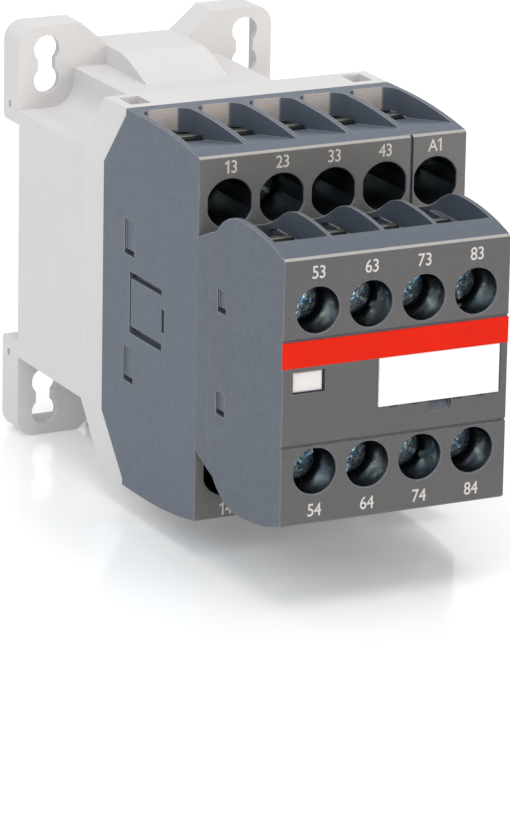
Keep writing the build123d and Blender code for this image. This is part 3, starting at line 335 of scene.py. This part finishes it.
def printed(name, body, rough, wear, specular=0.4):
    """Ink or a printed film: even, with a slight orange peel and pinholes."""
    f = Finish(name)
    peel = f.noise(1500, 2.0)
    pinholes = f.spread(f.noise(5200, 2.0), 0.30, 0.36)
    tone = f.spread(f.noise(160, 3.0), 0.3, 0.7, 0.95, 1.04)
    flat = f.node("ShaderNodeVectorMath", {0: body[:3], "Scale": tone}, operation="SCALE").outputs["Vector"]
    colour = f.mix(pinholes, wear, flat)
    roughness = f.spread(peel, 0.3, 0.7, rough - 0.05, rough + 0.08)
    normal = f.bump(peel, 0.008 * MM, 0.7)
    return f.finish(Base_Color=colour, Roughness=roughness, Normal=normal, Specular_IOR_Level=specular)


def wound_coil():
    """Enamelled wire under a clear wrap: fine turns round the bobbin."""
    f = Finish("winding")
    turns = f.node("ShaderNodeTexWave", {"Vector": f.place, "Scale": 1600.0, "Distortion": 0.4},
                   bands_direction="Y").outputs["Fac"]
    clouds = f.noise(300, 3.0)
    colour = f.mix(f.spread(turns, 0, 1, 0.1, 0.9), rgb(0.22, 0.06, 0.02), rgb(0.66, 0.27, 0.11))
    roughness = f.spread(clouds, 0.3, 0.7, 0.25, 0.42)
    return f.finish(Base_Color=colour, Roughness=roughness, Normal=f.bump(turns, 0.05 * MM), Metallic=0.6)


def laminated():
    """Stacked silicon-steel sheets with ground pole faces."""
    f = Finish("laminations")
    sheets = f.node("ShaderNodeTexWave", {"Vector": f.place, "Scale": 320.0, "Distortion": 0.15},
                    bands_direction="Z").outputs["Fac"]
    clouds = f.noise(420, 3.0)
    colour = f.mix(sheets, rgb(0.10, 0.11, 0.13), rgb(0.46, 0.47, 0.49))
    roughness = f.spread(clouds, 0.3, 0.7, 0.30, 0.5)
    return f.finish(Base_Color=colour, Roughness=roughness, Normal=f.bump(sheets, 0.04 * MM), Metallic=1.0)


# the two dark housings on their sides, the warmer copies painted on their fronts for the warm light on them,
# and the edges, paler as rubbed wear and as painted highlights
DARK = rgb(0.084, 0.101, 0.131)
PAINTED_FRONT_LIGHT = rgb(0.122, 0.117, 0.112)
AUX_DARK = rgb(0.073, 0.087, 0.112)
AUX_PAINTED_FRONT_LIGHT = rgb(0.078, 0.074, 0.075)
EDGE_WEAR_AND_HIGHLIGHT = rgb(0.56, 0.51, 0.47)
FINISHES = {
    "light_housing_plastic": moulded("light_plastic", rgb(0.645, 0.622, 0.610), rgb(0.86, 0.84, 0.82), 0.48,
                                     contrast=0.02, depth=0.005 * MM),
    "dark_housing_plastic": terminal_plastic("dark_plastic", DARK, PAINTED_FRONT_LIGHT, "front_housing", MAIN_WELLS),
    "aux_plastic": terminal_plastic("aux_plastic", AUX_DARK, AUX_PAINTED_FRONT_LIGHT, "aux_housing", AUX_WELLS),
    "band_red": printed("red_film", rgb(0.65, 0.011, 0.0), 0.45, rgb(0.55, 0.02, 0.01), 0.12),
    "marker_white": printed("marker_plate_white", rgb(0.84, 0.84, 0.835), 0.36, rgb(0.80, 0.79, 0.77)),
    "indicator_plastic": moulded("indicator_plastic", rgb(0.70, 0.67, 0.65), rgb(0.84, 0.82, 0.79), 0.42,
                                 contrast=0.03, depth=0.005 * MM),
    "clip_plastic": moulded("clip_plastic", rgb(0.055, 0.057, 0.06), rgb(0.16, 0.155, 0.15), 0.40),
    "carrier_plastic": moulded("carrier_plastic", rgb(0.035, 0.035, 0.038), rgb(0.12, 0.12, 0.12), 0.40),
    "bobbin_plastic": moulded("bobbin_plastic", rgb(0.70, 0.64, 0.50), rgb(0.80, 0.76, 0.66), 0.40),
    "damper_rubber": moulded("damper_rubber", rgb(0.02, 0.02, 0.02), rgb(0.05, 0.05, 0.05), 0.7, grain=1500),
    "magnet_steel": laminated(),
    "zinc_steel": passivated_zinc(),
    "spring_steel": metal("spring_steel", rgb(0.55, 0.56, 0.58), rgb(0.42, 0.43, 0.46), 0.30),
    "terminal_brass": metal("terminal_metal", rgb(0.62, 0.56, 0.42), rgb(0.44, 0.37, 0.22), 0.34,
                            brush=(6, 1, 1), edge_wear_and_highlight=rgb(0.85, 0.84, 0.80)),
    "contact_silver": metal("contact_silver", rgb(0.80, 0.78, 0.74), rgb(0.60, 0.56, 0.50), 0.28),
    "copper": metal("bare_copper", rgb(0.80, 0.42, 0.27), rgb(0.55, 0.26, 0.16), 0.30),
    "winding_copper": wound_coil(),
}
# the clamp plates deep in their pockets are painted dark as shade, their edges paler as wear and as
# highlights
CLAMP_PAINTED_SHADE = metal("zinc_plate", rgb(0.16, 0.16, 0.16), rgb(0.20, 0.18, 0.14), 0.38,
                     edge_wear_and_highlight=rgb(0.42, 0.43, 0.42))
INK = printed("number_ink", rgb(0.55, 0.52, 0.48), 0.55, rgb(0.34, 0.32, 0.30))


def dress_frame():
    """Give every CAD node the finish of its material slot."""
    for part in frame["record"]["subparts"]:
        node = frame["nodes"][part["node"]]
        for place in node.material_slots:
            place.material = FINISHES[part["material_slot"]]


# ------------------------------------------------------------------ meshes
def add_piece(name, mesh, body, finish, at=(0, 0, 0), turn=None):
    """A new piece in its place, in its finish, riding on its body."""
    piece = bpy.data.objects.new(name, mesh)
    bpy.context.collection.objects.link(piece)
    piece.location = at
    if turn is not None:
        piece.rotation_mode = "QUATERNION"
        piece.rotation_quaternion = turn
    if not mesh.materials:
        mesh.materials.append(finish)
    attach(piece, body)
    return piece


def mesh_of(name, build, smooth_angle=35):
    """A mesh made by a function that fills a bmesh."""
    work = bmesh.new()
    build(work)
    bmesh.ops.recalc_face_normals(work, faces=work.faces)
    mesh = bpy.data.meshes.new(name)
    work.to_mesh(mesh)
    work.free()
    mesh.shade_smooth()
    mesh.set_sharp_from_angle(angle=math.radians(smooth_angle))
    return mesh


def revolve(work, profile, steps):
    """Turn an (radius, height) outline round Z. Its two ends are on the axis."""
    rings = []
    for radius, height in profile:
        if radius == 0:
            rings.append([work.verts.new((0, 0, height))])
            continue
        angles = [2 * math.pi * i / steps for i in range(steps)]
        rings.append([work.verts.new((radius * math.cos(a), radius * math.sin(a), height)) for a in angles])
    for lower, upper in zip(rings, rings[1:]):
        for i in range(steps):
            j = (i + 1) % steps
            below = [lower[i % len(lower)], lower[j % len(lower)]]
            above = [upper[j % len(upper)], upper[i % len(upper)]]
            work.faces.new(list(dict.fromkeys(below + above)))


def cut(mesh, cutter):
    """The mesh with the cutter's solid taken out of it."""
    body = bpy.data.objects.new("cut_body", mesh)
    tool = bpy.data.objects.new("cut_tool", cutter)
    for piece in (body, tool):
        bpy.context.collection.objects.link(piece)
    step = body.modifiers.new("cut", "BOOLEAN")
    step.operation = "DIFFERENCE"
    step.solver = "EXACT"
    step.object = tool
    made = bpy.data.meshes.new_from_object(body.evaluated_get(bpy.context.evaluated_depsgraph_get()))
    for piece in (body, tool):
        bpy.data.objects.remove(piece)
    return made


def head_profile(radius, height):
    """Pan head: a flat seat, an upright rim, a rounded shoulder and a slightly domed top."""
    shoulder = 0.28 * height
    dome = 0.10 * height
    outline = [(0, 0), (radius * 0.93, 0), (radius, 0.05 * height), (radius, height - shoulder - dome)]
    for i in range(1, 6):
        angle = math.radians(90 * i / 6)
        outline.append((radius - shoulder * (1 - math.cos(angle)),
                        height - shoulder - dome + shoulder * math.sin(angle)))
    for share in (0.75, 0.5, 0.25):
        outline.append(((radius - shoulder) * share, height - dome * share * share))
    outline.append((0, height))
    return outline


def sunk_shape(work, outline, foot, top, low):
    """Closed solid between an outline above the head and its narrower foot inside it."""
    upper = [work.verts.new((x, y, top)) for x, y in outline]
    lower = [work.verts.new((x, y, low)) for x, y in foot]
    work.faces.new(upper)
    work.faces.new(lower)
    for i in range(len(upper)):
        j = (i + 1) % len(upper)
        work.faces.new((upper[i], upper[j], lower[j], lower[i]))


def straight(half_length, half_width):
    """Outline of a slot."""
    return [(-half_length, -half_width), (half_length, -half_width), (half_length, half_width),
            (-half_length, half_width)]


def cross(reach, half_width):
    """Outline of a cross with four equal arms."""
    corner = [(reach, -half_width), (reach, half_width), (half_width, half_width)]
    return [point for turn in range(4) for point in [quarter_turned(*spot, turn) for spot in corner]]


def quarter_turned(x, y, turns):
    """A point turned by so many quarters about the origin."""
    for _ in range(turns):
        x, y = -y, x
    return x, y


def screw_head(name, size):
    """Head of a terminal screw, seat at the origin, facing +Z, with its slot and tapered cross."""
    top = size["head"] + 0.5 * MM
    slot = size["slot"] / 2
    reach = size["reach"] / 2
    wide = size["radius"] * 1.2
    head = mesh_of(name, lambda work: revolve(work, head_profile(size["radius"], size["head"]), 48))
    slot_tool = mesh_of(f"{name}_slot", lambda work: sunk_shape(
        work, straight(wide, slot), straight(wide, slot * 0.9), top, size["head"] - size["depth"] * 0.6))
    cross_tool = mesh_of(f"{name}_cross", lambda work: sunk_shape(
        work, cross(reach, slot), cross(reach * 0.55, slot * 0.6), top, size["head"] - size["depth"]))
    made = cut(cut(head, slot_tool), cross_tool)
    made.name = name
    made.shade_smooth()
    made.set_sharp_from_angle(angle=math.radians(30))
    return made


def thread(work, core, crest, length, pitch, steps=20):
    """Threaded shank from the origin down, its surface rising and falling along one helix."""
    rings = []
    per_pitch = 6
    count = int(length / pitch * per_pitch)
    for k in range(count + 1):
        height = -length * k / count
        ring = []
        for i in range(steps):
            angle = 2 * math.pi * i / steps
            phase = (height / pitch + i / steps) % 1.0
            rise = 1 - abs(2 * phase - 1)
            taper = min(1.0, (length + height) / pitch)
            radius = core + (crest - core) * rise * taper
            ring.append(work.verts.new((radius * math.cos(angle), radius * math.sin(angle), height)))
        rings.append(ring)
    for upper, lower in zip(rings, rings[1:]):
        for i in range(steps):
            j = (i + 1) % steps
            work.faces.new((upper[i], upper[j], lower[j], lower[i]))
    work.faces.new(rings[0])
    work.faces.new(rings[-1])


PLATE_CORNER = 0.5 * MM
PLATE_BEVEL = 0.12 * MM
LIP_ROOT = 0.3 * MM
RIDGE = 0.5 * MM
RIDGE_HEIGHT = 0.22 * MM


def rounded_outline(half_width, low, high, corner):
    """Points round a rectangle with rounded corners, in X and Z."""
    outline = []
    for centre_x, centre_z, start in ((half_width - corner, high - corner, 0),
                                      (corner - half_width, high - corner, 90),
                                      (corner - half_width, low + corner, 180),
                                      (half_width - corner, low + corner, 270)):
        for step in range(5):
            angle = math.radians(start + 90 * step / 4)
            outline.append((centre_x + corner * math.cos(angle), centre_z + corner * math.sin(angle)))
    return outline


def pierced_plate(work, outline, hole, thickness, middle):
    """Plate with bevelled edges and a round hole, from Y = 0 forward."""
    levels = []
    for y, inset in ((0, PLATE_BEVEL), (-PLATE_BEVEL, 0), (PLATE_BEVEL - thickness, 0),
                     (-thickness, PLATE_BEVEL)):
        ring = []
        for x, z in outline:
            inner_x = x - math.copysign(inset, x)
            inner_z = z - math.copysign(inset, z - middle)
            ring.append(work.verts.new((inner_x, y, inner_z)))
        levels.append(ring)
    rim = [(hole * math.cos(math.atan2(z, x)), hole * math.sin(math.atan2(z, x))) for x, z in outline]
    inner = [[work.verts.new((x, y, z)) for x, z in rim] for y in (0, -thickness)]
    for i in range(len(outline)):
        j = (i + 1) % len(outline)
        for first, second in zip(levels, levels[1:]):
            work.faces.new((first[i], first[j], second[j], second[i]))
        work.faces.new((levels[0][i], levels[0][j], inner[0][j], inner[0][i]))
        work.faces.new((levels[-1][i], levels[-1][j], inner[1][j], inner[1][i]))
        work.faces.new((inner[0][i], inner[0][j], inner[1][j], inner[1][i]))


def clamp_plate(work, size, low, high):
    """Clamp plate in XZ with its back at the origin and its front facing -Y: rounded corners, a lip turned
    back along each side, and ridges on the back that bite the wire."""
    half_width = size["half_width"]
    hole = size["shank"] + 0.1 * MM
    outline = rounded_outline(half_width, low, high, PLATE_CORNER)
    pierced_plate(work, outline, hole, size["clamp"], (low + high) / 2)
    for side in (-1, 1):
        box(work, sorted((side * half_width, side * (half_width - size["lip"]))),
            (-LIP_ROOT, size["lip_length"]), (low + PLATE_CORNER, high - PLATE_CORNER))
    inside = half_width - size["lip"] - LIP_ROOT
    z = hole + 0.6 * MM
    while z + RIDGE < min(high, -low) - LIP_ROOT:
        prism(work, inside, z, RIDGE, RIDGE_HEIGHT)
        prism(work, inside, -z - RIDGE, RIDGE, RIDGE_HEIGHT)
        z += RIDGE * 1.5


def box(work, x, y, z):
    """Closed block between the given limits."""
    corners = [work.verts.new((a, b, c)) for a in x for b in y for c in z]
    for face in ((0, 1, 3, 2), (4, 6, 7, 5), (0, 4, 5, 1), (2, 3, 7, 6), (0, 2, 6, 4), (1, 5, 7, 3)):
        work.faces.new([corners[i] for i in face])


def prism(work, half, z, width, height):
    """Small closed ridge along X, standing on the plane Y = 0 towards +Y."""
    ends = []
    for x in (-half, half):
        ends.append([work.verts.new((x, -0.05 * MM, z)), work.verts.new((x, -0.05 * MM, z + width)),
                     work.verts.new((x, height, z + width / 2))])
    work.faces.new(ends[0])
    work.faces.new(ends[1])
    for i in range(3):
        j = (i + 1) % 3
        work.faces.new((ends[0][i], ends[0][j], ends[1][j], ends[1][i]))


# ------------------------------------------------------------------ terminal screws
# radius and height of a head, width of its slot, reach and depth of its cross, radius and pitch of the
# thread, thickness of the clamp plate and its place from the end of the screw, its half width and its lips,
# and the distance of the screws from the middle height
MAIN_SIZE = dict(radius=3.3 * MM, head=2.8 * MM, slot=0.8 * MM, reach=4.3 * MM, depth=1.7 * MM,
                 shank=1.75 * MM, pitch=0.6 * MM, clamp=1.3 * MM, clamp_from_end=6.8 * MM,
                 half_width=3.6 * MM, lip=0.4 * MM, lip_length=1.6 * MM, axis=20.8 * MM, middle=0.0)
AUX_SIZE = dict(radius=3.2 * MM, head=2.6 * MM, slot=0.7 * MM, reach=4.1 * MM, depth=1.6 * MM,
                shank=1.5 * MM, pitch=0.5 * MM, clamp=1.2 * MM, clamp_from_end=6.3 * MM,
                half_width=3.5 * MM, lip=0.35 * MM, lip_length=3.1 * MM, axis=12.2 * MM, middle=-0.38 * MM)


def add_screws(rows, size, name):
    """Head, threaded shank and clamp plate for each terminal of two rows, in place of the CAD solids."""
    head = screw_head(f"{name}_head", size)
    facing = Quaternion((1, 0, 0), math.radians(90))
    zinc = FINISHES["zinc_steel"]
    for sign, numbers in rows.items():
        for place, number in enumerate(numbers):
            node = f"terminal_screw_{number}"
            body = f"screw_{number}"
            low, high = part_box(node)
            seat = Vector(((low.x + high.x) / 2, low.y + size["head"], size["middle"] + sign * size["axis"]))
            shank = mesh_of(f"{name}_shank_{number}", lambda work: thread(
                work, size["shank"] * 0.82, size["shank"], high.y - seat.y, size["pitch"]))
            plate = mesh_of(f"{name}_clamp_{number}", lambda work: clamp_plate(
                work, size, low.z - seat.z, high.z - seat.z))
            turn = facing @ Quaternion((0, 0, 1), math.radians((place * 67 + (sign + 1) * 31 + 20) % 180))
            made = add_piece(f"{name}_screw_head_{number}", head, body, zinc, seat, turn)
            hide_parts(node)
            add_piece(f"{name}_screw_shank_{number}", shank, body, zinc, seat, turn)
            back = Vector((seat.x, high.y - size["clamp_from_end"], seat.z))
            add_piece(f"{name}_clamp_plate_{number}", plate, body, CLAMP_PAINTED_SHADE, back)


def add_spring(node):
    """A copy of a coil spring that sits between the housing and a sliding body, in place of its CAD node."""
    source = frame["nodes"][node]
    mesh = source.data.copy()
    mesh.transform(source.matrix_world)
    piece = bpy.data.objects.new(f"{node}_coils", mesh)
    bpy.context.collection.objects.link(piece)
    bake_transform(piece)
    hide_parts(node)


def add_springs():
    add_spring("din_clip_spring")
    add_spring("return_springs")
    for node in ("contact_springs", "aux_contact_springs"):
        add_spring(node)


# ------------------------------------------------------------------ printed numbers
NUMBER_HEIGHT = 2.0 * MM
GLYPH_PITCH = 1.16 * MM
GLYPH_SQUEEZE = 0.88
INK_THICKNESS = 0.03 * MM
ONE = ((0.02, 0), (0.16, 0), (0.16, 1), (0.06, 1), (-0.18, 0.82), (-0.18, 0.68), (0.02, 0.81))


def glyph_one(work):
    """A figure one with its flag, as a thin closed plate with its middle at the origin."""
    faces = []
    for level in (-INK_THICKNESS / 2, INK_THICKNESS / 2):
        faces.append([work.verts.new((x * NUMBER_HEIGHT, (y - 0.5) * NUMBER_HEIGHT, level)) for x, y in ONE])
        work.faces.new(faces[-1])
    for i in range(len(ONE)):
        j = (i + 1) % len(ONE)
        work.faces.new((faces[0][i], faces[0][j], faces[1][j], faces[1][i]))


def glyph(text):
    """One figure or letter as a thin closed plate, with its middle at the origin."""
    if text == "1":
        return mesh_of("glyph_1", glyph_one)
    curve = bpy.data.curves.new(f"glyph_{text}", "FONT")
    curve.body = text
    curve.size = NUMBER_HEIGHT / 0.73
    curve.offset = 0.022 * MM
    curve.extrude = INK_THICKNESS / 2
    letter = bpy.data.objects.new(f"glyph_{text}", curve)
    bpy.context.collection.objects.link(letter)
    mesh = bpy.data.meshes.new_from_object(letter.evaluated_get(bpy.context.evaluated_depsgraph_get()))
    bpy.data.objects.remove(letter)
    mesh.materials.clear()
    reach = [[vertex.co[k] for vertex in mesh.vertices] for k in (0, 1)]
    middle = [(min(values) + max(values)) / 2 for values in reach]
    centred = Matrix.Translation((-middle[0], -middle[1], 0))
    mesh.transform(Matrix.Diagonal((GLYPH_SQUEEZE, 1, 1, 1)) @ centred)
    return mesh


def add_number(text, x, y, z):
    """One printed number, centred on x, its middle at z, on the face at y."""
    turn = Quaternion((1, 0, 0), math.radians(90))
    for place, letter in enumerate(text.upper()):
        across = x + (place - (len(text) - 1) / 2) * GLYPH_PITCH
        add_piece(f"number_{text}_{place}", glyph(letter), "housing", INK, (across, y, z), turn)


def add_numbers(rows, face, height_of):
    """The numbers of two terminal rows, on the front face of their housing."""
    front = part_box(face)[0].y
    for sign, numbers in rows.items():
        for number in numbers:
            low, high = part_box(f"terminal_screw_{number}")
            add_number(number, (low.x + high.x) / 2, front - INK_THICKNESS / 2, height_of[sign])


# ------------------------------------------------------------------ studio
def direction(azimuth, elevation):
    """Direction from the object to a viewer, from angles in degrees; 0, 0 is straight in front."""
    a = math.radians(azimuth)
    e = math.radians(elevation)
    return Vector((math.sin(a) * math.cos(e), -math.cos(a) * math.cos(e), math.sin(e)))


def add_camera():
    """The camera at the photograph's angle."""
    back = direction(AZIMUTH, ELEVATION)
    data = bpy.data.cameras.new("camera")
    data.lens = LENS
    data.sensor_width = SENSOR
    data.shift_x, data.shift_y = SHIFT
    data.clip_start = 0.05
    data.clip_end = 50
    camera = bpy.data.objects.new("camera", data)
    bpy.context.collection.objects.link(camera)
    camera.location = TARGET + back * DISTANCE
    camera.rotation_mode = "QUATERNION"
    camera.rotation_quaternion = (-back).to_track_quat("-Z", "Y") @ Quaternion((0, 0, 1), math.radians(ROLL))
    bpy.context.scene.camera = camera


FLOOR_RADIUS = 8


def add_floor():
    """A large pale glossy table top, just under the lowest point."""
    mesh = mesh_of("floor", lambda work: bmesh.ops.create_circle(work, cap_ends=True, radius=FLOOR_RADIUS,
                                                                 segments=96))
    f = Finish("floor")
    clouds = f.noise(6, 2.0)
    shade = f.spread(clouds, 0.3, 0.7, 0.905, 0.93)
    colour = f.node("ShaderNodeCombineColor", {0: shade, 1: shade, 2: shade}).outputs["Color"]
    mesh.materials.append(f.finish(Base_Color=colour, Roughness=0.12, Specular_IOR_Level=0.5,
                                   Emission_Color=rgb(1, 0.99, 0.98), Emission_Strength=0.16))
    floor = bpy.data.objects.new("floor", mesh)
    bpy.context.collection.objects.link(floor)
    floor.location.z = cad_low.z - 0.1 * MM


def add_light(name, azimuth, elevation, distance, size, power, colour):
    """A square soft box aimed at the object."""
    data = bpy.data.lights.new(name, "AREA")
    data.shape = "SQUARE"
    data.size = size
    data.energy = power
    data.color = colour
    light = bpy.data.objects.new(name, data)
    bpy.context.collection.objects.link(light)
    back = direction(azimuth, elevation)
    light.location = TARGET + back * distance
    light.rotation_mode = "QUATERNION"
    light.rotation_quaternion = (-back).to_track_quat("-Z", "Y")


# name, azimuth and elevation in degrees, distance and size in metres, power in watts, and colour
LIGHTS = (("key", -75, 38, 1.4, 1.0, 5.4, (0.85, 0.94, 1.0)),
          ("top", -10, 82, 1.3, 0.9, 7.0, (1.0, 0.99, 0.98)),
          ("front", 35, 20, 1.5, 0.8, 6.0, (1.0, 0.95, 0.89)),
          ("spark", -6, 7, 0.9, 0.16, 1.1, (1.0, 0.98, 0.96)))
SKY = (0.95, 0.975, 1.0, 1)
SKY_SEEN = 1.05
SKY_LIGHT = 0.60


def add_studio():
    """A white room that is brighter to the eye and in reflections than as a light, and the soft boxes."""
    world = bpy.data.worlds.new("studio")
    bpy.context.scene.world = world
    world.use_nodes = True
    nodes = world.node_tree.nodes
    links = world.node_tree.links
    background = nodes["Background"]
    background.inputs["Color"].default_value = SKY
    path = nodes.new("ShaderNodeLightPath")
    level = nodes.new("ShaderNodeMapRange")
    level.inputs["To Min"].default_value = SKY_SEEN
    level.inputs["To Max"].default_value = SKY_LIGHT
    links.new(path.outputs["Is Diffuse Ray"], level.inputs["Value"])
    links.new(level.outputs["Result"], background.inputs["Strength"])
    for light in LIGHTS:
        add_light(*light)
    bpy.context.scene.view_settings.view_transform = "Standard"


dress_frame()
add_screws(MAIN_ROWS, MAIN_SIZE, "main")
add_screws(AUX_ROWS, AUX_SIZE, "aux")
add_springs()
add_numbers(MAIN_ROWS, "front_housing", {1: 26.45 * MM, -1: -26.75 * MM})
add_numbers(AUX_ROWS, "aux_housing", {1: 17.57 * MM, -1: -18.48 * MM})
add_camera()
add_floor()
add_studio()
